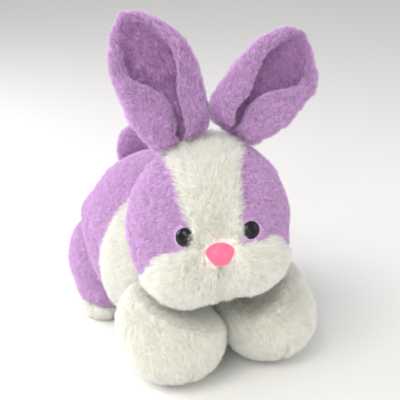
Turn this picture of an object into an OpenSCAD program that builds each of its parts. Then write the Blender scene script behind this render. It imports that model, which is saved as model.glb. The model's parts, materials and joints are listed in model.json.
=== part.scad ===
// Stuffed bunny rabbit, lying on its belly with its chin over its forepaws.
//
// Frame, in millimetres: the toy stands on z = 0 and faces -Y. Its own left is
// +X. The origin is on the floor under the middle of its body. The head is
// posed turned a little to the toy's right. Every part that moves is a closed
// soft body of its own: head, ears, forelegs, hind legs and tail.

/* [Body] */
// Half the width of the stuffed body, cover included
body_rx = 74; // [60:1:90]
// Half the length of the stuffed body
body_ry = 100; // [80:1:120]
// Half the height of the body before it settles flat on the floor
body_rz = 80; // [65:1:95]
// Height of the body's middle above the floor
body_mid_z = 74; // [60:1:90]
// Thickness of a plush cover, backing and pile together
cover = 4; // [2:0.5:6]
// Gap between a cover and the stuffing inside it
slack = 0.3; // [0.1:0.1:1]
// Height where the white belly panel meets the other body panels
belly_top = 18; // [10:1:30]
// Tilt of the seam between the white chest and the purple back
chest_seam_tilt = 11; // [0:1:20]
// Place of that seam along the body, at mid height
chest_seam_y = -20; // [-50:1:10]

/* [Head] */
// Half the width of the head
head_rx = 66.5; // [55:0.5:66.5]
// Half the depth of the head, front to back
head_ry = 62; // [52:0.5:66.5]
// Half the height of the head
head_rz = 67; // [55:0.5:67]
// Distance of the head's middle to the toy's right of the body's middle
head_off = 6; // [0:1:15]
// Distance of the head's middle in front of the body's middle
head_front = 106; // [98:1:115]
// Height of the head's middle
head_mid_z = 132; // [120:1:140]
// Angle the head is posed turned to the toy's right
head_turn = 18; // [0:1:30]
// Angle the head is posed tipped sideways
head_tip = 3; // [0:1:8]
// Half the width of the white blaze at the brow
blaze_half = 22; // [12:1:30]
// Widening of the blaze on each side, from the brow to the crown
blaze_flare = 10; // [0:1:16]
// Depth of the panels in front of the crown seam
crown_seam_y = 16; // [5:1:30]

/* [Cheeks] */
// Half the width of one cheek
cheek_rx = 35; // [25:1:40]
// Half the depth of one cheek
cheek_ry = 33; // [25:1:38]
// Half the height of one cheek
cheek_rz = 34; // [25:1:40]
// Distance of a cheek's middle from the middle of the face
cheek_x = 27; // [20:1:32]
// Distance of a cheek's middle in front of the head's middle
cheek_front = 31; // [20:1:34]
// Distance of a cheek's middle below the head's middle
cheek_down = 31; // [20:1:36]

/* [Eyes and nose] */
// Diameter of one plastic eye
eye_d = 15.2; // [9:0.2:20]
// Height of the eye's dome
eye_h = 5.6; // [3:0.2:8]
// Distance of each eye from the middle of the face
eye_x = 24.5; // [18:0.5:32]
// Height of the eyes above the head's middle
eye_up = 10; // [0:0.5:20]
// Width of the nose
nose_w = 23.5; // [16:1:32]
// Height of the nose
nose_t = 19; // [12:1:26]
// How far the nose stands out of the face
nose_h = 8; // [4:0.5:12]
// Diameter of the shank that goes through the cover
shank_d = 4; // [2:0.5:6]
// Diameter of the washer that locks on the shank
washer_d = 14; // [10:0.5:20]
// Thickness of that washer
washer_t = 1.2; // [0.8:0.1:2]

/* [Ears] */
// Half the width of an ear, measured flat across
ear_half = 34; // [25:1:45]
// Half the length of the ear's oval outline
ear_long = 54; // [45:1:75]
// Height of the oval's middle above the root
ear_mid = 46; // [35:1:60]
// Radius of the curl across the ear
ear_curl = 57; // [45:1:90]
// Thickness of each plush layer of an ear
ear_ply = 3; // [2:0.1:4]
// Thickness of the thin wadding between them
ear_wad = 3.6; // [2:0.1:6]
// Radius of the pleated root that is sewn to the head
ear_root_r = 6; // [4:0.5:7]
// Half the length of that root
ear_root_half = 13; // [10:1:20]
// Place of the right ear's root on the head
ear_right_at = [-21, 5, 73.5]; // [-60:1:80]
// Turns of the right ear: back, outward, twist
ear_right_turn = [-14, -20, -4]; // [-60:1:60]
// Place of the left ear's root on the head
ear_left_at = [25, 5, 75]; // [-60:1:80]
// Turns of the left ear: back, outward, twist
ear_left_turn = [-28, 44, 4]; // [-60:1:60]

/* [Forelegs] */
// Distance of each foreleg's middle from the middle of the toy
leg_x = 43; // [35:1:50]
// Half the width of a foreleg
leg_rx = 43; // [30:1:44]
// Radius of the shoulder, about the line that the leg swings on
shoulder_r = 40; // [30:1:42]
// Distance of that line in front of the body's middle
shoulder_front = 100; // [90:1:110]
// Height of that line
shoulder_z = 46; // [38:1:52]
// Distance of the paw's middle in front of the body's middle
paw_front = 120; // [110:1:130]
// Half the length of the paw
paw_ry = 40; // [30:1:46]
// Half the height of the paw before it settles flat
paw_rz = 36; // [28:1:40]
// Height of the paw's middle
paw_z = 35; // [26:1:38]
// Angle the foreleg can lift before the paw meets the chin
leg_lift = 8; // [0:1:12]

/* [Hind legs] */
// Radius of the domed haunch
haunch_r = 44; // [36:1:50]
// Distance of the haunch's middle behind the body's middle
haunch_back = 46; // [35:1:55]
// Distance of the haunch's flat inner face from the middle of the toy
haunch_inner = 40; // [34:1:46]
// Distance of the foot's middle from the middle of the toy
foot_x = 62; // [56:1:70]
// Distance of the foot's middle behind the body's middle
foot_back = 16; // [5:1:25]
// Half the width of the foot
foot_rx = 18; // [12:1:22]
// Half the length of the foot
foot_ry = 38; // [28:1:44]
// Half the height of the foot
foot_rz = 11; // [8:1:14]
// Angle the foot can lift
hind_lift = 15; // [0:1:20]

/* [Tail] */
// Half the width of the tail
tail_rx = 18; // [12:1:24]
// Half the thickness of the tail
tail_ry = 11; // [8:1:14]
// Half the height of the tail
tail_rz = 22; // [15:1:28]
// Radius of the ball at the tail's root
tail_root_r = 11; // [8:0.5:13]
// Distance of that ball behind the body's middle
tail_back = 80; // [70:1:88]
// Height of that ball
tail_z = 124; // [110:1:130]

/* [Clearances] */
// Gap between two soft parts that move against each other
gap = 0.5; // [0.3:0.1:2]
// Radius of the hollow in the body that the head turns in
socket_r = 70.5; // [68:0.5:74]
// Radius kept free round the head's middle for the cheeks
cheek_sweep = 88; // [84:0.5:92]
// Thickness of the seam allowance that joins head and body
neck_cord = 2.4; // [1:0.2:3]
// Room under the tail so that it can wag
tail_room = 4; // [3:0.5:6]
// Width of that ring of seam, as an angle at the head's middle
neck_spread = 30; // [15:1:40]
// Direction of the neck below the level
neck_dip = 32; // [20:1:45]

/* [Hidden] */
$fn = 96;
far = 400;
purple = [0.74, 0.58, 0.84];
deep_purple = [0.62, 0.44, 0.72];
white = [0.93, 0.93, 0.90];
wool = [0.88, 0.87, 0.83];
black = [0.06, 0.06, 0.07];
pink = [0.96, 0.50, 0.60];
nylon = [0.80, 0.80, 0.80];
head_c = [-head_off, -head_front, head_mid_z];
head_r = [head_rx, head_ry, head_rz];
body_r = [body_rx, body_ry, body_rz];
cheek_r = [cheek_rx, cheek_ry, cheek_rz];
wall_x = haunch_inner - gap;
foot_top_angle = 23;
chin_seam_z = -cheek_down - 17;
foot_clear_x = foot_x - foot_rx - 0.7;
foot_reach = norm([haunch_back - foot_back + foot_ry, haunch_r - foot_rz]) + 1;
eye_y = -head_ry * sqrt(1 - pow(eye_x / head_rx, 2) - pow(eye_up / head_rz, 2));
eye_n = [eye_x / pow(head_rx, 2), eye_y / pow(head_ry, 2), eye_up / pow(head_rz, 2)];
eye_tilt = acos(eye_n[2] / norm(eye_n));
eye_swing = atan2(eye_n[1], eye_n[0]);
nose_z = -4.5;
nose_sink = 0.45;
shank_len = 12;
washer_at = cover + 0.6;

// ---- Shared shapes ----

// An egg with the three given half sizes.
module egg(r) {
    scale(r)
        sphere(r = 1);
}

// Everything above the given height.
module above(z) {
    translate([-far / 2, -far / 2, z])
        cube([far, far, far]);
}

// Everything below the given height.
module below(z) {
    translate([-far / 2, -far / 2, z - far])
        cube([far, far, far]);
}

// Everything on one side of the toy's middle plane; side is 1 for its left.
module on_side(side, from = 0) {
    translate([side > 0 ? from : -from - far, -far / 2, -far / 2])
        cube([far, far, far]);
}

// Children on the toy's left as drawn, or mirrored to its right.
module sided(side) {
    if (side > 0)
        children();
    else
        mirror([1, 0, 0])
            children();
}

// ---- Body ----

module body_outside() {
    intersection() {
        translate([0, 0, body_mid_z])
            egg(body_r);
        above(0);
    }
}

module body_inside(depth) {
    intersection() {
        translate([0, 0, body_mid_z])
            egg(body_r - [depth, depth, depth]);
        above(depth);
    }
}

// Hollows in the body for the parts that are sewn on and move.
module body_hollows() {
    translate(head_c)
        sphere(r = socket_r);
    translate([0, -shoulder_front, shoulder_z])
        rotate([0, 90, 0])
            cylinder(r = shoulder_r + gap, h = far, center = true);
    for (side = [-1, 1])
        sided(side)
            hind_leg_hollow();
    translate([0, tail_back, tail_z])
        sphere(r = tail_root_r + gap);
}

module hind_leg_hollow() {
    translate([wall_x, haunch_back, haunch_r])
        rotate([0, 90, 0])
            cylinder(r = haunch_r + gap, h = far);
    intersection() {
        translate([foot_clear_x, haunch_back, haunch_r])
            rotate([0, 90, 0])
                cylinder(r = foot_reach, h = far);
        translate([foot_clear_x, haunch_back, haunch_r])
            rotate([foot_top_angle - hind_lift, 0, 0])
                translate([0, -far, -far])
                    cube([far, far, far]);
    }
}

module body_cover() {
    difference() {
        body_outside();
        body_inside(cover);
        body_hollows();
    }
}

// Space behind the seam between the chest and the back.
module behind_chest_seam() {
    translate([0, chest_seam_y, body_mid_z])
        rotate([chest_seam_tilt, 0, 0])
            translate([-far / 2, 0, -far / 2])
                cube([far, far, far]);
}

module body_fill() {
    color(wool)
        difference() {
            body_inside(cover + slack);
            body_hollows();
        }
}

module body_back(side) {
    color(purple)
        intersection() {
            body_cover();
            behind_chest_seam();
            above(belly_top);
            on_side(side);
        }
}

module body_back_left() {
    body_back(1);
}

module body_back_right() {
    body_back(-1);
}

module chest_panel() {
    color(white)
        difference() {
            intersection() {
                body_cover();
                above(belly_top);
            }
            behind_chest_seam();
        }
}

module belly_panel() {
    color(white)
        intersection() {
            body_cover();
            below(belly_top);
        }
}

// ---- Neck ----

// The ring of gathered seam allowance between the head and the body.
module neck_seam() {
    color(white)
        translate(head_c)
            rotate([-90 - neck_dip, 0, 0])
                rotate_extrude()
                    neck_section();
}

module neck_section() {
    mid_r = (socket_r + max(head_r)) / 2 - 0.1;
    translate([mid_r * sin(neck_spread), mid_r * cos(neck_spread)])
        circle(d = neck_cord, $fn = 32);
}

// ---- Head ----

module in_head() {
    translate(head_c)
        rotate([0, -head_tip, -head_turn])
            children();
}

module cheek_egg(side, depth) {
    translate([side * cheek_x, -cheek_front, -cheek_down])
        egg(cheek_r - [depth, depth, depth]);
}

module head_inside(depth) {
    egg(head_r - [depth, depth, depth]);
    cheek_egg(1, depth);
    cheek_egg(-1, depth);
}

// The head's own cover, without the cheeks.
module head_cover() {
    difference() {
        egg(head_r);
        head_inside(cover);
        cheek_egg(1, 0);
        cheek_egg(-1, 0);
        shank_holes();
    }
}

module shank_holes() {
    for (side = [-1, 1])
        at_eye(side)
            translate([0, 0, -shank_len - 1])
                cylinder(d = shank_d + 0.4, h = shank_len + 4);
    at_nose()
        translate([0, 0, -shank_len - 1])
            cylinder(d = shank_d + 0.4, h = shank_len + 4);
}

// Room in the filling for one shank and its washer, turned in one piece.
module shank_pocket(sink) {
    top = -washer_at + 0.6;
    floor_z = -washer_at - washer_t - 0.3 - sink;
    rotate_extrude()
        polygon([
            [0, -shank_len - 1],
            [shank_d / 2 + 0.2, -shank_len - 1],
            [shank_d / 2 + 0.2, floor_z],
            [washer_d / 2 + 0.4, floor_z],
            [washer_d / 2 + 0.4, top + 3],
            [0, top + 3]
        ]);
}

module shank_pocket_eye(side) {
    at_eye(side)
        shank_pocket(0);
}

// The wedge of head that the white blaze covers, from crown to throat.
module blaze_wedge() {
    near = blaze_half - 0.1 * blaze_flare;
    wide = blaze_half + blaze_flare;
    translate([0, 0, -far / 2])
        linear_extrude(height = far)
            polygon([
                [-near, -head_ry - 10],
                [near, -head_ry - 10],
                [wide, crown_seam_y],
                [-wide, crown_seam_y]
            ]);
}

module behind_crown_seam() {
    translate([-far / 2, crown_seam_y, -far / 2])
        cube([far, far, far]);
}

// The stuffed inside of the head, with its egg turned a quarter.
module head_stuffing(depth) {
    rotate([0, 0, -90])
        egg([head_ry - depth, head_rx - depth, head_rz - depth]);
    cheek_egg(1, depth);
    cheek_egg(-1, depth);
}

module head_fill() {
    color(wool)
        in_head()
            difference() {
                head_stuffing(cover + slack);
                shank_pocket_eye(1);
                shank_pocket_eye(-1);
                at_nose()
                    shank_pocket(nose_sink);
            }
}

module head_side(side) {
    color(purple)
        in_head()
            difference() {
                intersection() {
                    head_cover();
                    on_side(side);
                }
                blaze_wedge();
                behind_crown_seam();
            }
}

module head_side_left() {
    head_side(1);
}

module head_side_right() {
    head_side(-1);
}

module head_blaze() {
    color(white)
        in_head()
            intersection() {
                head_cover();
                blaze_wedge();
                above(chin_seam_z);
            }
}

module chin_panel() {
    color(white)
        in_head()
            intersection() {
                head_cover();
                blaze_wedge();
                below(chin_seam_z);
            }
}

module head_back() {
    color(purple)
        in_head()
            intersection() {
                head_cover();
                behind_crown_seam();
            }
}

module cheek(side) {
    color(white)
        in_head()
            difference() {
                cheek_egg(side, 0);
                on_side(-side);
                head_inside(cover);
            }
}

module cheek_left() {
    cheek(1);
}

module cheek_right() {
    cheek(-1);
}

// ---- Eyes and nose ----

// Frame on the face with its third axis straight out of the fabric.
module at_eye(side) {
    sided(side)
        translate([eye_x, eye_y, eye_up])
            rotate([0, eye_tilt, eye_swing])
                children();
}

module at_nose() {
    translate([0, -head_ry + 0.2, nose_z])
        rotate([90, 0, 0])
            children();
}

module shank() {
    translate([0, 0, -shank_len])
        cylinder(d = shank_d, h = shank_len + 1);
}

// The washer that locks a shank, sunk deeper where the cover bends away.
module washer(sink) {
    translate([0, 0, -washer_at - washer_t - sink])
        difference() {
            cylinder(d = washer_d, h = washer_t);
            translate([0, 0, -1])
                cylinder(d = shank_d + 0.1, h = washer_t + 2);
        }
}

module eye(side) {
    color(black)
        in_head()
            at_eye(side) {
                intersection() {
                    egg([eye_d / 2, eye_d / 2, eye_h]);
                    above(0.15);
                }
                shank();
            }
}

module eye_left() {
    eye(1);
}

module eye_right() {
    eye(-1);
}

module eye_washer(side) {
    color(nylon)
        in_head()
            at_eye(side)
                washer(0);
}

module eye_washer_left() {
    eye_washer(1);
}

module eye_washer_right() {
    eye_washer(-1);
}

// A rounded triangle, point down, with a soft domed front.
module nose() {
    color(pink)
        in_head()
            at_nose() {
                intersection() {
                    egg([nose_w / 2, nose_t / 2, nose_h]);
                    nose_cheek(1);
                    nose_cheek(-1);
                    above(0.15);
                }
                shank();
            }
}

// The large ball that rounds off one lower side of the nose.
module nose_cheek(side) {
    translate([-side * nose_w * 0.42, nose_t * 0.45, 0])
        sphere(r = nose_w * 0.92);
}

module nose_washer() {
    color(nylon)
        in_head()
            at_nose()
                washer(nose_sink);
}

// ---- Ears ----

module at_ear(side) {
    in_head()
        if (side > 0)
            translate(ear_left_at)
                rotate(ear_left_turn)
                    children();
        else
            translate(ear_right_at)
                rotate(ear_right_turn)
                    children();
}

module ear_oval(inset) {
    translate([0, 0, ear_mid])
        scale([ear_half - inset, 1, ear_long - inset])
            rotate([90, 0, 0])
                cylinder(r = 1, h = far, center = true);
}

// One curled layer of the ear between two depths, from a height upward.
module ear_layer(front, back, from, inset) {
    intersection() {
        difference() {
            translate([0, -ear_curl, 0])
                cylinder(r = ear_curl + back, h = far);
            translate([0, -ear_curl, -1])
                cylinder(r = ear_curl + front, h = far + 2);
        }
        ear_oval(inset);
        translate([-far / 2, -ear_curl, from])
            cube([far, far, far]);
    }
}

module ear_front(side) {
    color(deep_purple)
        at_ear(side)
            ear_layer(-ear_wad - ear_ply - 0.4, -ear_wad - 0.4, ear_root_r + 1.5, 0);
}

module ear_wadding(side) {
    color(wool)
        at_ear(side)
            ear_layer(-ear_wad - 0.2, -0.2, ear_root_r + 1.5, 3);
}

module ear_back(side) {
    color(purple)
        at_ear(side) {
            ear_layer(0, ear_ply, 0, 0);
            rotate([0, 90, 0])
                cylinder(r = ear_root_r, h = 2 * ear_root_half, center = true);
        }
}

module ear_left_front() {
    ear_front(1);
}

module ear_left_wadding() {
    ear_wadding(1);
}

module ear_left_back() {
    ear_back(1);
}

module ear_right_front() {
    ear_front(-1);
}

module ear_right_wadding() {
    ear_wadding(-1);
}

module ear_right_back() {
    ear_back(-1);
}

// ---- Forelegs ----

// Room that the head needs, seen from the leg at rest and when it is lifted.
module chin_room() {
    translate(head_c)
        sphere(r = cheek_sweep);
    translate([0, -shoulder_front, shoulder_z])
        rotate([leg_lift, 0, 0])
            translate(head_c - [0, -shoulder_front, shoulder_z])
                sphere(r = cheek_sweep);
}

module foreleg_shape(depth) {
    intersection() {
        union() {
            translate([leg_x, -shoulder_front, shoulder_z])
                egg([leg_rx - depth, shoulder_r - depth, shoulder_r - depth]);
            translate([leg_x, -paw_front, paw_z])
                egg([leg_rx - 1 - depth, paw_ry - depth, paw_rz - depth]);
        }
        above(depth);
        on_side(1, 1 + depth);
    }
}

module chin_cut(side, depth) {
    difference() {
        sided(side)
            foreleg_shape(depth);
        translate([0, 0, -depth])
            chin_room();
    }
}

module foreleg_cover(side) {
    difference() {
        chin_cut(side, 0);
        chin_cut(side, cover);
    }
}

module foreleg_fill(side) {
    color(wool)
        chin_cut(side, cover + slack);
}

module foreleg_outer(side) {
    color(white)
        intersection() {
            foreleg_cover(side);
            on_side(side, leg_x);
        }
}

module foreleg_inner(side) {
    color(white)
        difference() {
            foreleg_cover(side);
            on_side(side, leg_x);
        }
}

module foreleg_left_outer() {
    foreleg_outer(1);
}

module foreleg_left_inner() {
    foreleg_inner(1);
}

module foreleg_left_fill() {
    foreleg_fill(1);
}

module foreleg_right_outer() {
    foreleg_outer(-1);
}

module foreleg_right_inner() {
    foreleg_inner(-1);
}

module foreleg_right_fill() {
    foreleg_fill(-1);
}

// ---- Hind legs ----

// The whole ball that a haunch is half of, shrunk by a depth.
module haunch_ball(depth) {
    translate([haunch_inner, haunch_back, haunch_r])
        sphere(r = haunch_r - depth);
}

// The domed outer panel of a haunch.
module haunch_outer_panel(side) {
    color(purple)
        sided(side)
            intersection() {
                difference() {
                    haunch_ball(0);
                    haunch_ball(cover);
                }
                on_side(1, haunch_inner + cover);
            }
}

// The flat inner panel, sewn to the side of the body at its middle.
module haunch_inner_panel(side) {
    color(purple)
        sided(side)
            intersection() {
                haunch_ball(0);
                on_side(1, haunch_inner);
                on_side(-1, -haunch_inner - cover);
            }
}

module haunch_fill(side) {
    color(wool)
        sided(side)
            intersection() {
                haunch_ball(cover + slack);
                on_side(1, haunch_inner + cover + slack);
            }
}

module hind_foot(side) {
    color(white)
        sided(side)
            difference() {
                intersection() {
                    translate([foot_x, foot_back, foot_rz - 0.5])
                        egg([foot_rx, foot_ry, foot_rz]);
                    above(0);
                }
                haunch_ball(0);
            }
}

module haunch_left_outer() {
    haunch_outer_panel(1);
}

module haunch_left_inner() {
    haunch_inner_panel(1);
}

module haunch_left_fill() {
    haunch_fill(1);
}

module hind_foot_left() {
    hind_foot(1);
}

module haunch_right_outer() {
    haunch_outer_panel(-1);
}

module haunch_right_inner() {
    haunch_inner_panel(-1);
}

module haunch_right_fill() {
    haunch_fill(-1);
}

module hind_foot_right() {
    hind_foot(-1);
}

// ---- Tail ----

module tail_shape(depth) {
    translate([0, tail_back, tail_z])
        sphere(r = tail_root_r - depth);
    difference() {
        translate([0, tail_back + 2, tail_z + 14])
            egg([tail_rx - depth, tail_ry - depth, tail_rz - depth]);
        translate([0, 0, body_mid_z])
            egg(body_r + [1, 1, 1] * (tail_room + depth / 4));
    }
}

module tail_cover() {
    color(purple)
        difference() {
            tail_shape(0);
            tail_shape(cover);
        }
}

module tail_fill() {
    color(wool)
        tail_shape(cover + slack);
}

// ---- Assembly ----

body_fill();
body_back_left();
body_back_right();
chest_panel();
belly_panel();
neck_seam();
head_fill();
head_side_left();
head_side_right();
head_blaze();
chin_panel();
head_back();
cheek_left();
cheek_right();
eye_left();
eye_right();
eye_washer_left();
eye_washer_right();
nose();
nose_washer();
ear_left_front();
ear_left_wadding();
ear_left_back();
ear_right_front();
ear_right_wadding();
ear_right_back();
foreleg_left_outer();
foreleg_left_inner();
foreleg_left_fill();
foreleg_right_outer();
foreleg_right_inner();
foreleg_right_fill();
haunch_left_outer();
haunch_left_inner();
haunch_left_fill();
hind_foot_left();
haunch_right_outer();
haunch_right_inner();
haunch_right_fill();
hind_foot_right();
tail_cover();
tail_fill();
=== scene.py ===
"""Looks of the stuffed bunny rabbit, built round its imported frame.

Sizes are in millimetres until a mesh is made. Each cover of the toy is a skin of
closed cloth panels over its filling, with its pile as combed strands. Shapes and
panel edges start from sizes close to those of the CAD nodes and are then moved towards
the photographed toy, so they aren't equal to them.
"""

import json
import math

import bmesh
import bpy
import numpy as np
from mathutils import Matrix, Vector


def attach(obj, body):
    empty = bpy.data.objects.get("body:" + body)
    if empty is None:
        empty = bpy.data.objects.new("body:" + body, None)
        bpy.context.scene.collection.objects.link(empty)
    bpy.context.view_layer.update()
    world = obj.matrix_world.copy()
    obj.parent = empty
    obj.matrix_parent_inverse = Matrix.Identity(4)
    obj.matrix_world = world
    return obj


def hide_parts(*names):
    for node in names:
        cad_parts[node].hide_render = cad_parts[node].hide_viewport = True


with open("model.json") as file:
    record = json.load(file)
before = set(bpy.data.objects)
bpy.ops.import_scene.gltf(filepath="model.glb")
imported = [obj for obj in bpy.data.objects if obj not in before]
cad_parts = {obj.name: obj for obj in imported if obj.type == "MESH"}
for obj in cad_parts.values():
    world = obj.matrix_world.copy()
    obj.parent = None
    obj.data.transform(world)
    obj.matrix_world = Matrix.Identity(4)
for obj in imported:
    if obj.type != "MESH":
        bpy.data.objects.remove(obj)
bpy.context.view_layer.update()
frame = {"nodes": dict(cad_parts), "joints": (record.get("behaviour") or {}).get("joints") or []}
MM = 0.001
NODES = frame["nodes"]
JOINTS = {j["name"]: j for j in frame["joints"]}
RNG = np.random.default_rng(11)


# ---- Frames of the moving parts, from the record's joints ----


def joint_at(name):
    return np.array(JOINTS[name]["pos_m"]) / MM


def unit(v):
    v = np.asarray(v, float)
    return v / np.linalg.norm(v, axis=-1, keepdims=True)


def turn(rx, ry, rz):
    """Rotation about X, then Y, then Z, in degrees."""
    a, b, c = (math.radians(v) for v in (rx, ry, rz))
    x = np.array([[1, 0, 0], [0, math.cos(a), -math.sin(a)], [0, math.sin(a), math.cos(a)]])
    y = np.array([[math.cos(b), 0, math.sin(b)], [0, 1, 0], [-math.sin(b), 0, math.cos(b)]])
    z = np.array([[math.cos(c), -math.sin(c), 0], [math.sin(c), math.cos(c), 0], [0, 0, 1]])
    return z @ y @ x


HEAD_AT = joint_at("head_nod")
_x = unit(JOINTS["head_nod"]["axis"])
_y = unit(np.array([-_x[1], _x[0], 0]))
HEAD_BASIS = np.stack([_x, _y, np.cross(_x, _y)], 1)
BODY_AT = np.array([0.0, 0.0, 74.0])
BODY_R = np.array([74.0, 100.0, 80.0])
HEAD_R = np.array([66.5, 62.0, 67.0])
CHEEK_AT = np.array([27.0, -31.0, -31.0])
CHEEK_R = np.array([35.0, 33.0, 34.0])
EAR_TURN = {"left": (-28, 44, 4), "right": (-14, -20, -4)}
SIDES = (("left", 1), ("right", -1))


# ---- Smooth noise ----


def ease(t):
    t = np.clip(t, 0, 1)
    return t * t * (3 - 2 * t)


def lattice(i, j, k, seed):
    n = (i * 73856093) ^ (j * 19349663) ^ (k * 83492791) ^ (seed * 2654435761)
    n &= 0xFFFFFFFF
    n = ((n ^ (n >> 15)) * 2246822519) & 0xFFFFFFFF
    n = ((n ^ (n >> 13)) * 3266489917) & 0xFFFFFFFF
    n ^= n >> 16
    return n / 2147483648.0 - 1.0


def noise(p, seed=0):
    """Smooth noise from -1 to 1 at the points, one cell per unit."""
    f = np.floor(p)
    i, j, k = (f[:, a].astype(np.int64) for a in range(3))
    t = p - f
    t = t * t * (3 - 2 * t)
    out = 0
    for a in (0, 1):
        for b in (0, 1):
            for c in (0, 1):
                w = (
                    (t[:, 0] if a else 1 - t[:, 0])
                    * (t[:, 1] if b else 1 - t[:, 1])
                    * (t[:, 2] if c else 1 - t[:, 2])
                )
                out = out + w * lattice(i + a, j + b, k + c, seed)
    return out


def noise_vector(p, seed):
    return np.stack([noise(p, seed), noise(p + 31.7, seed + 1), noise(p - 17.3, seed + 2)], 1)


# ---- Soft solids as distance fields ----


def egg(p, at, r):
    q = (p - at) / r
    k0 = np.linalg.norm(q, axis=1)
    k1 = np.linalg.norm(q / r, axis=1) + 1e-9
    return k0 * (k0 - 1) / k1


def join(a, b, k):
    h = np.clip(0.5 + 0.5 * (b - a) / k, 0, 1)
    return b * (1 - h) + a * h - k * h * (1 - h)


def cut(a, b, k):
    """The part of a where b is negative too."""
    return -join(-a, -b, k)


def ball(p, at, r):
    return np.linalg.norm(p - at, axis=1) - r


def march(field, at, dirs, reach):
    """Distance along each direction to where the field first turns positive."""
    steps = np.linspace(2, reach, 56)
    first = np.full(len(dirs), reach)
    before = np.full(len(dirs), steps[0])
    open_ = np.ones(len(dirs), bool)
    for s in steps:
        d = field(at + dirs[open_] * s)
        idx = np.flatnonzero(open_)
        hit = idx[d > 0]
        first[hit] = s
        miss = idx[d <= 0]
        before[miss] = s
        open_[hit] = False
        if not open_.any():
            break
    lo, hi = before, first
    for _ in range(14):
        mid = (lo + hi) / 2
        out = field(at + dirs * mid[:, None]) > 0
        hi = np.where(out, mid, hi)
        lo = np.where(out, lo, mid)
    return (lo + hi) / 2


_spheres = {}


def sphere(level):
    """Unit directions and triangles of an icosphere."""
    if level not in _spheres:
        bm = bmesh.new()
        bmesh.ops.create_icosphere(bm, subdivisions=level, radius=1.0)
        v = np.array([x.co[:] for x in bm.verts])
        f = np.array([[x.index for x in t.verts] for t in bm.faces])
        bm.free()
        _spheres[level] = (unit(v), f)
    return _spheres[level]


def normals_of(v, f):
    n = np.cross(v[f[:, 1]] - v[f[:, 0]], v[f[:, 2]] - v[f[:, 0]])
    out = np.zeros_like(v)
    for k in range(3):
        np.add.at(out, f[:, k], n)
    return unit(out + 1e-12)


def neighbours_mean(values, f, count):
    total = np.zeros((count,) + values.shape[1:])
    share = np.zeros(count)
    for a, b in ((0, 1), (1, 2), (2, 0)):
        np.add.at(total, f[:, a], values[f[:, b]])
        np.add.at(total, f[:, b], values[f[:, a]])
        np.add.at(share, f[:, a], 1)
        np.add.at(share, f[:, b], 1)
    share = np.maximum(share, 1)
    return total / (share if values.ndim == 1 else share[:, None])


# ---- Materials ----


def material(name):
    m = bpy.data.materials.new(name)
    m.use_nodes = True
    tree = m.node_tree
    tree.nodes.clear()
    out = tree.nodes.new("ShaderNodeOutputMaterial")
    return m, tree, out


def node(tree, kind, **values):
    n = tree.nodes.new(kind)
    for key, value in values.items():
        if key in n.inputs.keys():
            n.inputs[key].default_value = value
        else:
            setattr(n, key, value)
    return n


def ramp(tree, fac, stops):
    n = tree.nodes.new("ShaderNodeValToRGB")
    e = n.color_ramp.elements
    while len(e) < len(stops):
        e.new(0.5)
    for el, (at, colour) in zip(e, stops):
        el.position = at
        el.color = (*colour, 1)
    tree.links.new(fac, n.inputs["Fac"])
    return n.outputs["Color"]


def scaled(c, k):
    return tuple(min(1.0, v * k) for v in c)


def plush(name, colour, dark, clump_mm=2.2):
    """Cloth under the pile: mottled in clumps, with a sheen and a fine nap as bump."""
    m, t, out = material(name)
    co = node(t, "ShaderNodeTexCoord")
    clumps = node(t, "ShaderNodeTexNoise", Scale=1000 / clump_mm / 2.2, Detail=4.0, Roughness=0.62)
    broad = node(t, "ShaderNodeTexNoise", Scale=38.0, Detail=2.0, Roughness=0.5)
    stretch = node(t, "ShaderNodeMapping")
    stretch.inputs["Scale"].default_value = (1.0, 1.0, 0.45)
    t.links.new(co.outputs["Object"], stretch.inputs["Vector"])
    t.links.new(stretch.outputs["Vector"], clumps.inputs["Vector"])
    t.links.new(co.outputs["Object"], broad.inputs["Vector"])
    add = node(t, "ShaderNodeMath", operation="MULTIPLY_ADD")
    t.links.new(clumps.outputs["Fac"], add.inputs[0])
    add.inputs[1].default_value = 0.75
    scale = node(t, "ShaderNodeMath", operation="MULTIPLY")
    t.links.new(broad.outputs["Fac"], scale.inputs[0])
    scale.inputs[1].default_value = 0.3
    t.links.new(scale.outputs[0], add.inputs[2])
    stops = [(0.36, dark), (0.56, colour), (0.74, scaled(colour, 1.16))]
    colour_out = ramp(t, add.outputs[0], stops)
    nap = node(t, "ShaderNodeTexNoise", Scale=1500.0, Detail=3.0, Roughness=0.7)
    t.links.new(stretch.outputs["Vector"], nap.inputs["Vector"])
    both = node(t, "ShaderNodeMath", operation="MULTIPLY_ADD")
    t.links.new(nap.outputs["Fac"], both.inputs[0])
    both.inputs[1].default_value = 0.35
    t.links.new(clumps.outputs["Fac"], both.inputs[2])
    bump = node(t, "ShaderNodeBump", Strength=0.6, Distance=0.0012)
    t.links.new(both.outputs[0], bump.inputs["Height"])
    s = node(t, "ShaderNodeBsdfPrincipled")
    s.inputs["Roughness"].default_value = 0.92
    s.inputs["Specular IOR Level"].default_value = 0.18
    s.inputs["Sheen Weight"].default_value = 0.55
    s.inputs["Sheen Roughness"].default_value = 0.5
    s.inputs["Sheen Tint"].default_value = (*scaled(colour, 1.5), 1)
    t.links.new(colour_out, s.inputs["Base Color"])
    t.links.new(bump.outputs["Normal"], s.inputs["Normal"])
    t.links.new(s.outputs["BSDF"], out.inputs["Surface"])
    return m


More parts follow.
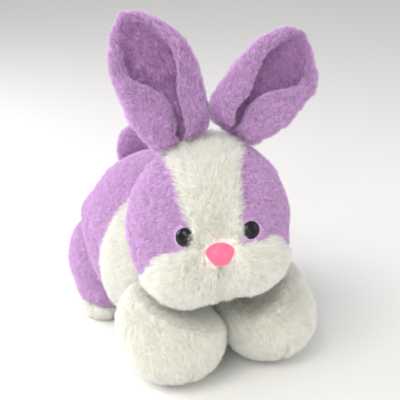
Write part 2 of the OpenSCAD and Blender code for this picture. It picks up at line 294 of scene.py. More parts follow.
def pile(name, root, tip, glow=0.35, clump=0.16):
    """Strands of pile: darker at the root as painted shade deep in the pile, paler and more
    see-through at the tip.
    """
    m, t, out = material(name)
    info = node(t, "ShaderNodeHairInfo")
    # Root to tip: the darker roots are painted shade among the strands.
    mix = ramp(t, info.outputs["Intercept"], [(0.0, root), (0.55, tip), (1.0, scaled(tip, 1.12))])
    vary = node(t, "ShaderNodeMapRange")
    vary.inputs["To Min"].default_value = 0.86
    vary.inputs["To Max"].default_value = 1.1
    t.links.new(info.outputs["Random"], vary.inputs["Value"])
    co = node(t, "ShaderNodeTexCoord")
    stretch = node(t, "ShaderNodeMapping")
    stretch.inputs["Scale"].default_value = (1.0, 0.7, 0.4)
    clumps = node(t, "ShaderNodeTexNoise", Scale=420.0, Detail=3.0, Roughness=0.6)
    t.links.new(co.outputs["Object"], stretch.inputs["Vector"])
    t.links.new(stretch.outputs["Vector"], clumps.inputs["Vector"])
    patchy = node(t, "ShaderNodeMapRange")
    patchy.inputs["From Min"].default_value = 0.32
    patchy.inputs["From Max"].default_value = 0.68
    patchy.inputs["To Min"].default_value = 1.0 - clump
    patchy.inputs["To Max"].default_value = 1.0 + 0.6 * clump
    t.links.new(clumps.outputs["Fac"], patchy.inputs["Value"])
    shade = node(t, "ShaderNodeMath", operation="MULTIPLY")
    t.links.new(vary.outputs["Result"], shade.inputs[0])
    t.links.new(patchy.outputs["Result"], shade.inputs[1])
    tint = node(t, "ShaderNodeMix", data_type="RGBA", blend_type="MULTIPLY")
    tint.inputs["Factor"].default_value = 1.0
    grey = node(t, "ShaderNodeCombineColor")
    for k in range(3):
        t.links.new(shade.outputs[0], grey.inputs[k])
    t.links.new(mix, tint.inputs[6])
    t.links.new(grey.outputs[0], tint.inputs[7])
    diffuse = node(t, "ShaderNodeBsdfDiffuse")
    through = node(t, "ShaderNodeBsdfTranslucent")
    t.links.new(tint.outputs[2], diffuse.inputs["Color"])
    t.links.new(tint.outputs[2], through.inputs["Color"])
    both = node(t, "ShaderNodeMixShader")
    both.inputs["Fac"].default_value = glow
    t.links.new(diffuse.outputs[0], both.inputs[1])
    t.links.new(through.outputs[0], both.inputs[2])
    t.links.new(both.outputs[0], out.inputs["Surface"])
    return m


PURPLE = (0.60, 0.38, 0.62)
PURPLE_DARK = (0.38, 0.20, 0.42)
# The ear front: the same purple plush as the back, made darker as painted shade for the hollow of
# the ear.
SHADED_PURPLE = (0.44, 0.24, 0.46)
SHADED_PURPLE_DARK = (0.26, 0.12, 0.29)
WHITE = (0.84, 0.84, 0.78)
WHITE_DARK = (0.70, 0.70, 0.64)
SKIN = {
    "purple": plush("purple_plush_cloth", PURPLE, PURPLE_DARK),
    # Cloth of the ear front: the purple made darker as painted shade of the ear's hollow.
    "shaded_purple": plush("ear_front_shaded_purple_cloth", SHADED_PURPLE, SHADED_PURPLE_DARK),
    "white": plush("white_plush_cloth", WHITE, WHITE_DARK, 3.0),
}
PILE = {
    "purple": pile("purple_pile", (0.42, 0.23, 0.46), (0.78, 0.57, 0.81), 0.4, 0.15),
    # Pile of the ear front: the purple pile made darker as painted shade of the ear's hollow.
    "shaded_purple": pile("lining_pile", (0.30, 0.145, 0.34), (0.60, 0.38, 0.63), 0.35, 0.15),
    "white": pile("white_pile", (0.88, 0.88, 0.82), (0.93, 0.93, 0.875), 0.5, 0.02),
}
WOOL = plush("polyester_filling", (0.86, 0.85, 0.80), (0.66, 0.65, 0.60), 5.0)


# ---- Meshes ----


def mesh_object(name, v, f, mat, smooth=True):
    me = bpy.data.meshes.new(name)
    me.vertices.add(len(v))
    me.vertices.foreach_set("co", (np.asarray(v) * MM).astype(np.float32).ravel())
    f = np.asarray(f)
    me.loops.add(f.size)
    me.loops.foreach_set("vertex_index", f.astype(np.int32).ravel())
    me.polygons.add(len(f))
    me.polygons.foreach_set("loop_start", np.arange(0, f.size, f.shape[1], dtype=np.int32))
    me.polygons.foreach_set("loop_total", np.full(len(f), f.shape[1], np.int32))
    me.update(calc_edges=True)
    me.validate()
    me.polygons.foreach_set("use_smooth", np.full(len(me.polygons), smooth))
    me.materials.append(mat)
    o = bpy.data.objects.new(name, me)
    bpy.context.scene.collection.objects.link(o)
    return o


def panel(name, body, v, n, f, tone, replaces, thick=2.4):
    """One closed cloth panel from the outer faces given."""
    used = np.unique(f)
    slot = np.full(len(v), -1)
    slot[used] = np.arange(len(used))
    g = slot[f]
    outer = v[used]
    inner = outer - n[used] * thick
    count = len(used)
    edges = np.concatenate([g[:, [0, 1]], g[:, [1, 2]], g[:, [2, 0]]])
    key = edges[:, 0] * count + edges[:, 1]
    back = edges[:, 1] * count + edges[:, 0]
    rim = edges[~np.isin(key, back)]
    walls = np.concatenate(
        [
            np.stack([rim[:, 1], rim[:, 0], rim[:, 0] + count], 1),
            np.stack([rim[:, 1], rim[:, 0] + count, rim[:, 1] + count], 1),
        ]
    )
    faces = np.concatenate([g, g[:, ::-1] + count, walls])
    o = mesh_object(name, np.concatenate([outer, inner]), faces, SKIN[tone])
    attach(o, body)
    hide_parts(*replaces)
    return o


def stuffing(name, body, v, n, f, depth=3.0):
    """The filling as one closed mesh that follows its cover just inside the cloth."""
    o = mesh_object(name + "_felt", v - n * depth, f, WOOL)
    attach(o, body)
    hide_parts(name)


# ---- Pile ----


DENSITY = {"purple": 2.8, "shaded_purple": 2.6, "white": 2.7}
STRAND = {"purple": (4.6, 0.115), "shaded_purple": (3.8, 0.115), "white": (7.6, 0.11)}
TUFT = {"purple": 0.9, "shaded_purple": 0.9, "white": 0.42}
LEAN = {"purple": 0.7, "shaded_purple": 0.7, "white": 0.6}


def strands(parent, v, n, f, tone, flow, length=1.0, density=1.0, stray=0.3, lengths=None):
    """Combed pile over the faces given; flow says which way it lies at each root."""
    tri = v[f]
    area = np.linalg.norm(np.cross(tri[:, 1] - tri[:, 0], tri[:, 2] - tri[:, 0]), axis=1) / 2
    count = int(area.sum() * DENSITY[tone] * density * (1.0))
    if count < 3:
        return
    pick = RNG.choice(len(f), count, p=area / area.sum())
    a, b = RNG.random(count), RNG.random(count)
    over = a + b > 1
    a[over], b[over] = 1 - a[over], 1 - b[over]
    w = np.stack([1 - a - b, a, b], 1)[:, :, None]
    root = (tri[pick] * w).sum(1)
    up = unit((n[f[pick]] * w).sum(1))
    comb = flow(root, up)
    comb = comb - up * (comb * up).sum(1, keepdims=True)
    size = np.linalg.norm(comb, axis=1, keepdims=True)
    comb = comb / np.maximum(size, 1e-6)
    tuft = noise_vector(root / 3.1, 5) * 0.55 + noise_vector(root / 8.0, 9) * 0.45
    comb = comb + tuft * TUFT[tone] + RNG.normal(0, stray, (count, 3))
    comb -= up * (comb * up).sum(1, keepdims=True)
    base_len, radius = STRAND[tone]
    long = base_len * length * RNG.uniform(0.72, 1.12, count)
    long *= 1 + (0.1 if tone == "white" else 0.26) * noise(root / 4.0, 21)
    if lengths is not None:
        long *= lengths(root)
    steps = 5
    pts = np.zeros((count, steps, 3))
    at = root - up * 0.6
    pts[:, 0] = at
    for k in range(1, steps):
        s = (k - 0.5) / (steps - 1)
        way = unit(up * (1.15 - 0.75 * s) + comb * LEAN[tone] * (0.35 + 1.35 * s))
        at = at + way * (long / (steps - 1))[:, None]
        pts[:, k] = at
    pts[:, :, 2] = np.maximum(pts[:, :, 2], 0.25)
    h = bpy.data.hair_curves.new(parent.name + "_pile")
    h.add_curves([steps] * count)
    h.position_data.foreach_set("vector", (pts * MM).astype(np.float32).ravel())
    r = h.attributes.get("radius") or h.attributes.new("radius", "FLOAT", "POINT")
    taper = np.array([1.0, 0.95, 0.8, 0.55, 0.2]) * radius * MM
    r.data.foreach_set("value", np.tile(taper, count).astype(np.float32))
    h.materials.append(PILE[tone])
    o = bpy.data.objects.new(parent.name + "_pile", h)
    bpy.context.scene.collection.objects.link(o)
    o.parent = parent


# ---- A whole stuffed part ----


def skin(at, basis, field, level, reach, label, tones, relief=None):
    """Outer surface of a stuffed part: points, normals, triangles and each one's panel."""
    dirs, f = sphere(level - (0))
    r = march(field, np.zeros(3), dirs, reach)
    local = dirs * r[:, None]
    mid = local[f].mean(1)
    names = label(mid)
    seam = np.zeros(len(local))
    low = np.full(len(local), 10**6)
    high = np.full(len(local), -1)
    for k in range(3):
        np.minimum.at(low, f[:, k], names)
        np.maximum.at(high, f[:, k], names)
    seam[low != high] = 1
    groove = seam.copy()
    for _ in range(2):
        groove = np.maximum(groove * 0.9, neighbours_mean(groove, f, len(local)))
    n = normals_of(local, f)
    tone_push = np.array([0.9 if tones[k] == "white" else 0.0 for k in range(len(tones))])
    push = np.zeros(len(local))
    share = np.zeros(len(local))
    for k in range(3):
        np.add.at(push, f[:, k], tone_push[names])
        np.add.at(share, f[:, k], 1)
    push /= np.maximum(share, 1)
    fuzz = 0.5 * noise(local * np.array([1, 1, 0.5]) / 1.9, 3)
    fuzz += 0.45 * noise(local * np.array([1, 1, 0.55]) / 4.2, 4)
    fuzz += 0.5 * noise(local / 17.0, 6)
    move = push + fuzz - 1.5 * groove
    if relief is not None:
        move = move + relief(local)
    local = local + n * move[:, None]
    v = local @ basis.T + at
    v[:, 2] = np.maximum(v[:, 2], 0.3)
    return v, normals_of(v, f), f, names


def toward(d):
    d = np.array(d, float)

    def flow(root, up):
        return np.tile(d, (len(root), 1))

    return flow


# ---- Head ----

INSET = 2.0
HEAD_INSET = 3.6
EYE_AT = np.array([24.5, -56.9, 10.0])
NOSE_AT = np.array([0.0, -62.0, -4.5])


def mirrored(p):
    return np.stack([np.abs(p[:, 0]), p[:, 1], p[:, 2]], 1)


def head_field(p):
    q = mirrored(p)
    up = p * np.where(p[:, 2:] < 0, [1, 1, 1.08], 1)
    side = np.exp(-(((p - np.array([-60, -12, -18])) / 32.0) ** 2).sum(1))
    far_side = np.exp(-(((p - np.array([62, -12, -4])) / 34.0) ** 2).sum(1))
    jowl = np.exp(-(((q - np.array([50, -12, -34])) / 20.0) ** 2).sum(1))
    jowl = jowl * np.where(p[:, 0] < 0, 3.4, 1.2)
    d = egg(up, np.zeros(3), HEAD_R - HEAD_INSET) - 4.6 * side + 1.2 * far_side - jowl
    lift = np.where(p[:, :1] > 0, [[-1.5, 0, 7.5]], [[0, 0, 1.0]]) * ease(np.abs(p[:, :1]) / 12)
    cheek_r = CHEEK_R - HEAD_INSET - np.array([2.5, 0, 3.5])
    cheek = egg(q - lift, CHEEK_AT + np.array([-2.5, 0, 4]), cheek_r)
    d = join(d, cheek, 17)
    near_eye = np.exp(-(((q - EYE_AT) / 12.5) ** 2).sum(1))
    near_nose = np.exp(-(((p - NOSE_AT) / np.array([13, 12, 11])) ** 2).sum(1))
    return d - 6.6 * near_eye - 3.3 * near_nose


HEAD_PANELS = [
    ("head_side_left", "purple"),
    ("head_side_right", "purple"),
    ("head_blaze", "white"),
    ("chin_panel", "white"),
    ("head_back", "purple"),
    ("cheek_left", "white"),
    ("cheek_right", "white"),
]


def cheek_top(x):
    """Height of the cheek's upper edge, at a distance from the middle of the face."""
    return 2.0 - 8.0 * (np.maximum(x - 20, 0) / 27.0) ** 4.2


def head_label(p):
    x, y, z = p.T
    ax = np.abs(x)
    wobble = 0.9 * noise(p / 5.0, 31)
    out = np.where(x > 0, 0, 1)
    out[y > 16] = 4
    blaze = ax < np.where(x > 0, 25.0, 29.7) + 0.15 * y + wobble
    front = y < 16
    out[blaze & front & (z > -48)] = 2
    out[blaze & front & (z <= -48)] = 3
    rear = -15 - 0.35 * np.maximum(-45 - z, 0)
    near_drop = 5.0 * ease((-x - 24) / 10)
    cheek = (z < cheek_top(ax) - near_drop + wobble) & (y < rear + wobble) & (z > -75)
    middle = (ax < 11) & (z > -12)
    cheek &= ~middle
    cheek &= ~((z < -52) & (ax < 12))
    out[cheek & (x > 0)] = 5
    out[cheek & (x <= 0)] = 6
    return out


def head_relief(p):
    q = mirrored(p)
    x, y, z = q.T
    notch = np.exp(-((x / 3.2) ** 2)) * np.clip((-8 - z) / 10, 0, 1) * np.clip(-y / 30, 0, 1)
    return -1.0 * notch


v, n, f, names = skin(
    HEAD_AT, HEAD_BASIS, head_field, 7, 100, head_label,
    [t for _, t in HEAD_PANELS], head_relief,
)


def head_local(root):
    return (root - HEAD_AT) @ HEAD_BASIS


def head_flow(kind):
    def flow(root, up):
        p = head_local(root)
        x, y, z = p.T
        s = np.sign(x)
        if kind == "side":
            d = np.stack([0.75 * s, 0.45 + 0 * x, -0.7 + 0 * x], 1)
        elif kind == "back":
            d = np.stack([0.15 * s, 0.2 + 0 * x, -1 + 0 * x], 1)
        elif kind == "blaze":
            edge = np.clip(np.abs(x) / 22, 0, 1) ** 2
            d = np.stack([1.5 * s * edge, 0.3 + 0 * x, 0.75 - 0.2 * edge], 1)
        else:
            d = np.stack([x / 26, (y + 60) / 30, (z + 18) / 26 - 0.35], 1)
        return d @ HEAD_BASIS.T

    return flow


HEAD_FLOW = ["side", "side", "blaze", "cheek", "back", "cheek", "cheek"]


def clear_of_eyes(root):
    p = mirrored(head_local(root))
    eye = np.linalg.norm((p - EYE_AT), axis=1)
    nose = np.linalg.norm((head_local(root) - NOSE_AT) / np.array([13, 12, 11]), axis=1)
    over = np.clip((EYE_AT[0] - 4 - p[:, 0]) / 4, 0, 1) + np.clip((5 - p[:, 2]) / 3, 0, 0.8)
    low = 0.08 + 0.85 * np.clip(over, 0, 1) * (eye > 6.8)
    crown = 1 + 0.45 * ease((p[:, 2] - 44) / 16)
    return crown * np.clip((eye - 5.0) / 7.0, low, 1) * np.clip((nose - 0.75) / 0.75, 0.1, 1)


def over_eyes(root, up):
    """Way from each root across the nearer eye."""
    p = head_local(root)
    eye = EYE_AT * np.stack([np.sign(p[:, 0]), np.ones(len(p)), np.ones(len(p))], 1)
    return (eye - p) @ HEAD_BASIS.T


def eye_rim(part):
    """Faces of a panel along the inner and lower edge of the eyes."""
    p = mirrored(head_local(v[part].mean(1)))
    gap = np.linalg.norm(p - EYE_AT, axis=1)
    inside = (EYE_AT[0] - p[:, 0]) + 0.8 * (EYE_AT[2] - p[:, 2])
    return part[(gap > 6.5) & (gap < 10.5) & (inside > 2.5)]


stuffing("head_fill", "head", v, n, f)
for k, (name, tone) in enumerate(HEAD_PANELS):
    part = f[names == k]
    o = panel(name + "_plush", "head", v, n, part, tone, [name])
    strands(o, v, n, part, tone, head_flow(HEAD_FLOW[k]), lengths=clear_of_eyes)
    if tone == "white" and len(eye_rim(part)):
        strands(o, v, n, eye_rim(part), tone, over_eyes, length=0.78, density=1.1)


# ---- Body ----

SHOULDER = (joint_at("foreleg_left_swing") + joint_at("foreleg_right_swing")) / 2
HIP = joint_at("hind_left_swing")
TAIL_AT = joint_at("tail_wag")
HAUNCH_AT = np.array([47.0, HIP[1], 42.6])
HAUNCH_R = np.array([33.5, 45.0, 42.0])
THIGH_AT = np.array([57.0, 27.0, 23.0])
THIGH_R = np.array([21.5, 31.0, 20.0])
FOOT_AT = np.array([63.0, 27.0, 8.6])
FOOT_R = np.array([17.5, 29.0, 9.4])
HIND_BACK = turn(JOINTS["hind_left_swing"]["range_deg"][0], 0, 0)
HIP_SWELL_AT = np.array([38.0, 42.0, 62.0])
HIP_SWELL_R = np.array([35.5, 50.0, 45.0])
TAIL_SEAT_R = np.array([20.0, 11.5, 22.0])
TAIL_MIDDLE = TAIL_AT + np.array([0, 2, 14])
TAIL_R = np.array([17.0, 10.0, 21.0])
TAIL_RISE = np.array([0, 2, 12])
HEAD_HOLLOW = 68.6
SHOULDER_HOLLOW = 39.4
TAIL_HOLLOW = 10.6
CHIN_DISH = 84.5
HAUNCH_INNER_X = 40.3
CHEST_SEAM_Y = -22
CHEST_SEAM_TILT = math.radians(11)
BELLY_TOP = 18


def haunch_shape(w, grow=0.0):
    return join(egg(w, HAUNCH_AT, HAUNCH_R + grow), egg(w, THIGH_AT, THIGH_R + grow), 9)


def body_field(p):
    w = p + BODY_AT
    q = mirrored(w)
    d = egg(w, BODY_AT, BODY_R - INSET)
    d = join(d, egg(q, HIP_SWELL_AT, HIP_SWELL_R), 12)
    d = cut(d, -ball(w, HEAD_AT, HEAD_HOLLOW), 7)
    leg = np.sqrt((w[:, 1] - SHOULDER[1]) ** 2 + (w[:, 2] - SHOULDER[2]) ** 2) - SHOULDER_HOLLOW
    d = cut(d, -leg, 7)
    # Known fault: both haunch hollows run on inwards past the haunch's flat inner face.
    d = cut(d, -haunch_shape(q, -1.0), 11)
    d = cut(d, -haunch_shape((q - HIP) @ HIND_BACK + HIP, -1.0), 8)
    d = cut(d, -egg(q, FOOT_AT, FOOT_R - 0.5), 4)
    d = cut(d, -ball(w, TAIL_AT, TAIL_HOLLOW), 4)
    d = cut(d, -egg(q, TAIL_MIDDLE, TAIL_SEAT_R), 4)
    return cut(d, 0.6 - w[:, 2], 5)


BODY_PANELS = [
    ("body_back_left", "purple"),
    ("body_back_right", "purple"),
    ("chest_panel", "white"),
    ("belly_panel", "white"),
]


def body_label(p):
    w = p + BODY_AT
    x, y, z = w.T
    wobble = 0.8 * noise(w / 6.0, 33)
    out = np.where(x > 0, 0, 1)
    seam = CHEST_SEAM_Y - (z - BODY_AT[2]) * math.tan(CHEST_SEAM_TILT)
    out[y < seam + wobble] = 2
    out[z < BELLY_TOP + wobble] = 3
    return out


v, n, f, names = skin(
    BODY_AT, np.eye(3), body_field, 7, 130, body_label, [t for _, t in BODY_PANELS]
)
BODY_FLOW = [toward((0, 0.8, -0.5)), toward((0, 0.8, -0.5)), toward((0, 0.6, -0.7)),
             toward((0, 1, 0))]
stuffing("body_fill", "torso", v, n, f, depth=4.0)
for k, (name, tone) in enumerate(BODY_PANELS):
    part = f[names == k]
    o = panel(name + "_plush", "torso", v, n, part, tone, [name])
    strands(o, v, n, part, tone, BODY_FLOW[k])


# ---- Forelegs ----

LEG_AT = np.array([43.0, -108.0, 36.0])
PAW_AT = np.array([43.0, -117.0, 35.0])
PAW_R = np.array([42.0, 37.5, 36.0])
SHOULDER_R = np.array([43.0, 40.0, 40.0])


def foreleg_field(side):
    at = np.array([43.0, SHOULDER[1], SHOULDER[2]])
    lifted = turn(8, 0, 0) @ (HEAD_AT - SHOULDER) + SHOULDER

    def field(p):
        w = p * np.array([side, 1, 1]) + LEG_AT
        d = join(egg(w, at, SHOULDER_R - 4.0), egg(w, PAW_AT, PAW_R - 4.6), 8)
        near = HEAD_AT * np.array([side, 1, 1])
        d = cut(d, -ball(w, near, CHIN_DISH), 7)
        d = cut(d, -ball(w, lifted * np.array([side, 1, 1]), CHIN_DISH), 7)
        d = cut(d, 1.2 - w[:, 0], 5)
        return cut(d, 0.6 - w[:, 2], 6)

    return field


def leg_flow(root, up):
    d = np.zeros_like(root)
    d[:, 1] = -0.8
    d[:, 2] = -0.7
    return d


for word, side in SIDES:
    at = LEG_AT * np.array([side, 1, 1])
    v, n, f, names = skin(
        at, np.eye(3), foreleg_field(side), 6, 90,
        lambda p, s=side: np.where(p[:, 0] * s > 0, 0, 1), ["white", "white"],
    )
    stuffing(f"foreleg_{word}_fill", f"foreleg_{word}", v, n, f)
    for k, part_name in enumerate(("outer", "inner")):
        node_name = f"foreleg_{word}_{part_name}"
        part = f[names == k]
        o = panel(node_name + "_plush", f"foreleg_{word}", v, n, part, "white", [node_name])
        strands(o, v, n, part, "white", leg_flow, length=0.85)


# ---- Hind legs ----


def haunch_field(side):
    def field(p):
        w = p * np.array([side, 1, 1]) + HAUNCH_AT
        d = haunch_shape(w, -0.5)
        d = cut(d, -egg(w, FOOT_AT, FOOT_R - 1.5), 5)
        d = cut(d, HAUNCH_INNER_X - w[:, 0], 6)
        return cut(d, 0.6 - w[:, 2], 5)

    return field


def foot_field(side):
    def field(p):
        w = p * np.array([side, 1, 1]) + FOOT_AT
        d = egg(w, FOOT_AT, FOOT_R - 1.0)
        return cut(d, 0.5 - w[:, 2], 4)

    return field


def haunch_flow(root, up):
    w = root - np.array([0, HIP[1], HIP[2]])
    return np.stack([0 * w[:, 0], 0.5 + 0 * w[:, 1], -0.9 + 0 * w[:, 2]], 1)


for word, side in SIDES:
    flip = np.array([side, 1, 1])
    v, n, f, names = skin(
        HAUNCH_AT * flip, np.eye(3), haunch_field(side), 6, 80,
        lambda p, s=side: np.where(p[:, 0] * s + HAUNCH_AT[0] > 44, 0, 1), ["purple", "purple"],
    )
    stuffing(f"haunch_{word}_fill", f"hind_{word}", v, n, f)
    for k, part_name in enumerate(("outer", "inner")):
        node_name = f"haunch_{word}_{part_name}"
        part = f[names == k]
        o = panel(node_name + "_plush", f"hind_{word}", v, n, part, "purple", [node_name])
        strands(o, v, n, part, "purple", haunch_flow, density=1.0 if k == 0 else 0.3)
    v, n, f, names = skin(
        FOOT_AT * flip, np.eye(3), foot_field(side), 5, 60,
        lambda p: np.zeros(len(p), int), ["white"],
    )
    o = panel(f"hind_foot_{word}_plush", f"hind_{word}", v, n, f, "white", [f"hind_foot_{word}"])
    strands(o, v, n, f, "white", toward((0, -0.8, -0.5)), length=0.75)


# ---- Tail ----


def tail_field(p):
    w = p + TAIL_AT + TAIL_RISE
    return join(ball(w, TAIL_AT, 10), egg(w, TAIL_MIDDLE, TAIL_R), 6)


v, n, f, names = skin(
    TAIL_AT + TAIL_RISE, np.eye(3), tail_field, 5, 40,
    lambda p: np.zeros(len(p), int), ["purple"],
)
stuffing("tail_fill", "tail", v, n, f)
o = panel("tail_cover_plush", "tail", v, n, f, "purple", ["tail_cover"])
strands(o, v, n, f, "purple", toward((0, 0.1, 1)))


# ---- Ears ----

EAR_TIP, EAR_FOOT, EAR_WIDEST, EAR_HALF = 98.5, -8.0, 46.0, 31.5
EAR_LEAN = {"left": (15.0, -5.0), "right": (-10.0, 12.0)}
EAR_FLAP = {"outer": 21.0, "inner": 6.0}


def ear_half_width(z):
    """Half the width of the folded ear at a height."""
    top = EAR_HALF * np.sqrt(np.clip(1 - ((z - EAR_WIDEST) / (EAR_TIP - EAR_WIDEST)) ** 2, 0, 1))
    low = EAR_HALF - 9.5 * (np.clip(EAR_WIDEST - z, 0, EAR_WIDEST) / EAR_WIDEST) ** 1.7
    root = 7.0 * np.clip(-z / 8, 0, 1) ** 1.5
    return np.where(z > EAR_WIDEST, top, low - root)


def ear_leaf(side, nu, nw):
    """The folded leaf of an ear: its middle, the way to its back, half thickness."""
    grow = np.linspace(0, 1, nw)
    z = EAR_FOOT + (EAR_TIP - EAR_FOOT) * (1 - (1 - grow) ** 1.35)
    half = ear_half_width(z)
    tilt, bow = EAR_LEAN["left" if side > 0 else "right"]
    middle = side * (tilt * z / 100 + bow * (z / 100) ** 3)
    fold = np.radians(174 - 134 * ease((z - 24) / 74))
    bend = 6.2 + 15 * ease((z - 30) / 62)
    pad = 4.6 - 0.9 * ease((z - 30) / 60)
    shift = 0.3 * (1 - ease((z - 10) / 75))
    rows = {}
    for word, way in (("outer", 1), ("inner", -1)):
        reach = half * (1 + shift * (1 if way > 0 else -1)) - pad * 0.9
        reach = reach - (2.4 * ease((z - 20) / 30) if way > 0 else 0)
        reach = reach + (2.6 * (1 - ease((z - 4) / 26)) if way < 0 else 0)
        reach = np.maximum(reach, 0.4)
        turn_r = np.minimum(bend, reach / np.sin(np.minimum(fold, math.pi / 2)) * 0.8)
        flat = np.maximum(reach - turn_r * np.sin(np.minimum(fold, math.pi / 2)), 0.1)
        flap = EAR_FLAP[word] * np.clip(half / EAR_HALF, 0, 1) * (1 - ease((z - 20) / 38))
        flap *= 0.55 + 0.45 * ease((z + 8) / 22)
        arc = turn_r * fold
        total = flat + arc + flap
        step = np.linspace(0, 1, nu)[None, :] * total[:, None]
        on_arc = np.clip((step - flat[:, None]) / arc[:, None], 0, 1)
        angle = on_arc * fold[:, None] + np.minimum(step, flat[:, None]) / 190
        dx, dy = np.cos(angle), -np.sin(angle)
        ds = np.diff(step, axis=1)
        x = np.concatenate([np.zeros((nw, 1)), np.cumsum((dx[:, 1:] + dx[:, :-1]) / 2 * ds, 1)], 1)
        y = np.concatenate([np.zeros((nw, 1)), np.cumsum((dy[:, 1:] + dy[:, :-1]) / 2 * ds, 1)], 1)
        x *= (reach / np.maximum(x.max(1), 0.1))[:, None]
        edge = total[:, None] - step
        rows[word] = (x * way, y, np.stack([-dy * way, dx], -1), edge)
    x, y, out, edge = (
        np.concatenate([rows["inner"][k][:, :0:-1], rows["outer"][k]], 1) for k in range(4)
    )
    start = middle - side * shift * half
    px = start[:, None] + side * x
    out = np.stack([out[..., 0] * side, out[..., 1], 0 * out[..., 0]], -1)
    zz = np.repeat(z[:, None], px.shape[1], 1)
    near_tip = np.clip((EAR_TIP - zz) / 5.0, 0, 1)
    near = np.minimum(np.clip(edge / pad[:, None], 0, 1), near_tip)
    foot = np.clip((zz - EAR_FOOT) / 4.0, 0, 1)
    near = np.minimum(near, foot)
    half_pad = pad[:, None] * np.sqrt(np.clip(1 - (1 - near) ** 2, 0, 1)) + 0.25
    mid = np.stack([px, y - 0.8 - 3.5 * (zz / 100) ** 2, zz], -1)
    pleat = noise(np.stack([x.ravel() / 5.0, zz.ravel() / 26.0, y.ravel() / 9.0], 1), 41)
    pleat = pleat.reshape(x.shape) * 1.5 * (1 - ease((zz - 8) / 55)) * np.clip(near, 0, 1)
    rim = np.minimum(edge, EAR_TIP - zz)
    return mid, out, half_pad, pleat, rim


def ear_layer(leaf, low, high):
    """One closed layer of the ear between two parts of its thickness, -1 to 1."""
    mid, out, half_pad, pleat, _ = leaf
    nw, nu = half_pad.shape
    crease = pleat[..., None] * out
    top = (mid + out * (half_pad * high)[..., None] + crease).reshape(-1, 3)
    bottom = (mid + out * (half_pad * low)[..., None] + crease).reshape(-1, 3)
    idx = np.arange(nu * nw).reshape(nw, nu)
    a, b = idx[:-1, :-1].ravel(), idx[:-1, 1:].ravel()
    c, d = idx[1:, 1:].ravel(), idx[1:, :-1].ravel()
    up = np.concatenate([np.stack([a, c, b], 1), np.stack([a, d, c], 1)])
    count = nu * nw
    loop = np.concatenate([idx[0, :], idx[1:, -1], idx[-1, -2::-1], idx[-2:0:-1, 0]])
    nxt = np.roll(loop, -1)
    rim = np.concatenate([np.stack([loop, nxt, nxt + count], 1),
                          np.stack([loop, nxt + count, loop + count], 1)])
    return np.concatenate([top, bottom]), up, up[:, ::-1] + count, rim


for word, side in SIDES:
    at = joint_at(f"ear_{word}_flop")
    basis = HEAD_BASIS @ turn(*EAR_TURN[word])
    leaf = ear_leaf(side, *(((56, 96))))
    for layer, low, high, tone in (
        ("back", 0.3, 1.0, "purple"),
        # The front layer takes the purple made darker as painted shade of the ear's hollow.
        ("front", -1.0, -0.3, "shaded_purple"),
        ("wadding", -0.24, 0.24, None),
    ):
        lv, up, down, rim = ear_layer(leaf, low, high)
        if side < 0:
            up, down, rim = up[:, ::-1], down[:, ::-1], rim[:, ::-1]
        faces = np.concatenate([up, down, rim])
        shown = up if layer == "back" else down
        nn = normals_of(lv, faces)
        if tone:
            lift = 0.4 * noise(lv / np.array([1.9, 1.9, 3.6]), 7)
            lift += 0.35 * noise(lv / np.array([4, 4, 8]), 8)
            keep = np.zeros(len(lv))
            keep[np.unique(shown)] = 1
            lv = lv + nn * (lift * keep)[:, None]
        v = lv @ basis.T + at
        n = normals_of(v, faces)
        name = f"ear_{word}_{layer}"
        if tone:
            o = mesh_object(name + "_plush", v, faces, SKIN[tone])
        else:
            o = mesh_object(name + "_felt", v, faces, WOOL)
        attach(o, f"ear_{word}")
        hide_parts(name)
        if tone:
            up_ear = toward(basis @ np.array([0.25 * side, 0, 1.0]))
            strands(o, v, n, shown, tone, up_ear)
            # Strands of both colours cross the rim, so the painted shade of the front fades into
            # the purple of the back.
            from_rim = np.tile(leaf[-1].ravel(), 2)[shown].mean(1)
            mixed = shown[from_rim < RNG.uniform(0, 12, len(shown))]
            other = "purple" if tone == "shaded_purple" else "shaded_purple"
            strands(o, v, n, mixed, other, up_ear, density=0.9)


# ---- Hard parts and neck seam: the CAD nodes keep their shape and get their finish ----


def gloss_black():
    m, t, out = material("eye_gloss")
    co = node(t, "ShaderNodeTexCoord")
    haze = node(t, "ShaderNodeTexNoise", Scale=120.0, Detail=3.0)
    t.links.new(co.outputs["Object"], haze.inputs["Vector"])
    stops = [(0.3, (0.006, 0.006, 0.008)), (0.7, (0.016, 0.014, 0.018))]
    tone = ramp(t, haze.outputs["Fac"], stops)
    rough = node(t, "ShaderNodeMapRange")
    rough.inputs["To Min"].default_value = 0.06
    rough.inputs["To Max"].default_value = 0.14
    t.links.new(haze.outputs["Fac"], rough.inputs["Value"])
    s = node(t, "ShaderNodeBsdfPrincipled")
    s.inputs["Specular IOR Level"].default_value = 0.22
    t.links.new(tone, s.inputs["Base Color"])
    t.links.new(rough.outputs["Result"], s.inputs["Roughness"])
    t.links.new(s.outputs["BSDF"], out.inputs["Surface"])
    return m


def flocked(name, colour, dark):
    m, t, out = material(name)
    co = node(t, "ShaderNodeTexCoord")
    grain = node(t, "ShaderNodeTexNoise", Scale=2600.0, Detail=2.0)
    cloud = node(t, "ShaderNodeTexNoise", Scale=160.0, Detail=2.0)
    t.links.new(co.outputs["Object"], grain.inputs["Vector"])
    t.links.new(co.outputs["Object"], cloud.inputs["Vector"])
    tone = ramp(t, cloud.outputs["Fac"], [(0.35, dark), (0.65, colour)])
    bump = node(t, "ShaderNodeBump", Strength=0.4, Distance=0.0003)
    t.links.new(grain.outputs["Fac"], bump.inputs["Height"])
    s = node(t, "ShaderNodeBsdfPrincipled")
    s.inputs["Roughness"].default_value = 0.55
    s.inputs["Sheen Weight"].default_value = 0.6
    s.inputs["Sheen Roughness"].default_value = 0.4
    t.links.new(tone, s.inputs["Base Color"])
    t.links.new(bump.outputs["Normal"], s.inputs["Normal"])
    t.links.new(s.outputs["BSDF"], out.inputs["Surface"])
    return m


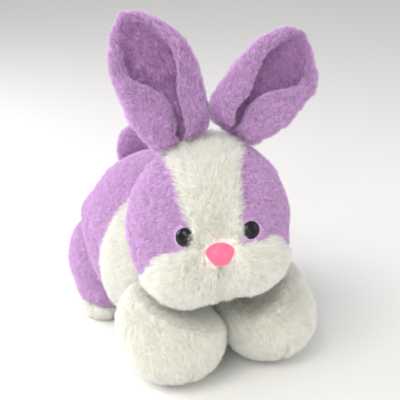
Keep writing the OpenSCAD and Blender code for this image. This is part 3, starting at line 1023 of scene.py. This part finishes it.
def dress(names, mat):
    for name in names:
        me = NODES[name].data
        me.materials.clear()
        me.materials.append(mat)


dress(["eye_left", "eye_right"], gloss_black())
dress(["nose"], flocked("nose_flock", (0.92, 0.145, 0.28), (0.88, 0.115, 0.235)))
dress(["eye_washer_left", "eye_washer_right", "nose_washer"],
      flocked("washer_nylon", (0.62, 0.62, 0.60), (0.52, 0.52, 0.50)))
dress(["neck_seam"], flocked("seam_tape", (0.80, 0.78, 0.75), (0.66, 0.64, 0.60)))


# ---- Stage ----


def area_light(name, at, size, power, colour=(1, 1, 1), target=(0, -0.05, 0.13)):
    light = bpy.data.lights.new(name, "AREA")
    light.energy = power
    light.size = size
    light.color = colour
    o = bpy.data.objects.new(name, light)
    o.location = at
    o.rotation_euler = (Vector(target) - Vector(at)).to_track_quat("-Z", "Y").to_euler()
    bpy.context.scene.collection.objects.link(o)


def floor_material():
    m, t, out = material("pale_floor")
    co = node(t, "ShaderNodeTexCoord")
    grain = node(t, "ShaderNodeTexNoise", Scale=600.0, Detail=3.0)
    t.links.new(co.outputs["Object"], grain.inputs["Vector"])
    tone = ramp(t, grain.outputs["Fac"], [(0.3, (0.78, 0.77, 0.75)), (0.7, (0.83, 0.82, 0.80))])
    s = node(t, "ShaderNodeBsdfPrincipled")
    s.inputs["Roughness"].default_value = 0.85
    t.links.new(tone, s.inputs["Base Color"])
    t.links.new(s.outputs["BSDF"], out.inputs["Surface"])
    return m


bpy.ops.mesh.primitive_plane_add(size=8.0, location=(0, 0, -0.0002))
floor = bpy.context.object
floor.name = "floor"
floor.data.materials.append(floor_material())

area_light("key", (-0.75, -0.55, 1.15), 0.7, 9.5, (1.0, 0.985, 0.96))
area_light("window", (-0.9, 0.75, 0.6), 0.8, 13.5, (0.97, 0.96, 1.0))
area_light("front", (-0.45, -1.3, 0.35), 1.0, 3.8, (1.0, 0.99, 0.97))
area_light("fill", (0.95, -0.7, 0.55), 0.9, 3.0, (1.0, 0.97, 0.94))
area_light("catch", (-0.62, -1.0, 0.85), 0.1, 1.6, (1.0, 1.0, 1.0))
world = bpy.data.worlds.new("studio")
world.use_nodes = True
world.node_tree.nodes["Background"].inputs["Color"].default_value = (0.93, 0.94, 0.95, 1)
world.node_tree.nodes["Background"].inputs["Strength"].default_value = 0.68
bpy.context.scene.world = world
bpy.context.scene.view_settings.view_transform = "Standard"


# ---- Camera, at the photograph's angle ----

CAM_AZ, CAM_EL, CAM_ROLL = (math.radians(v) for v in (-24.0, 21.0, -1.0))
CAM_DIST, CAM_TARGET, CAM_FOV = 780.0, np.array([8.0, -56.0, 128.0]), 25.0
back = np.array([math.sin(CAM_AZ) * math.cos(CAM_EL), -math.cos(CAM_AZ) * math.cos(CAM_EL),
                 math.sin(CAM_EL)])
right = unit(np.cross(-back, (0, 0, 1)))
above = np.cross(right, -back)
right, above = (right * math.cos(CAM_ROLL) + above * math.sin(CAM_ROLL),
                above * math.cos(CAM_ROLL) - right * math.sin(CAM_ROLL))
cam = bpy.data.cameras.new("camera")
cam.sensor_fit = "HORIZONTAL"
cam.angle = math.radians(CAM_FOV)
cam_object = bpy.data.objects.new("camera", cam)
place = (CAM_TARGET + back * CAM_DIST) * MM
cam_object.matrix_world = Matrix([
    [right[0], above[0], back[0], place[0]],
    [right[1], above[1], back[1], place[1]],
    [right[2], above[2], back[2], place[2]],
    [0, 0, 0, 1],
])
bpy.context.scene.collection.objects.link(cam_object)
bpy.context.scene.camera = cam_object

bpy.context.view_layer.update()
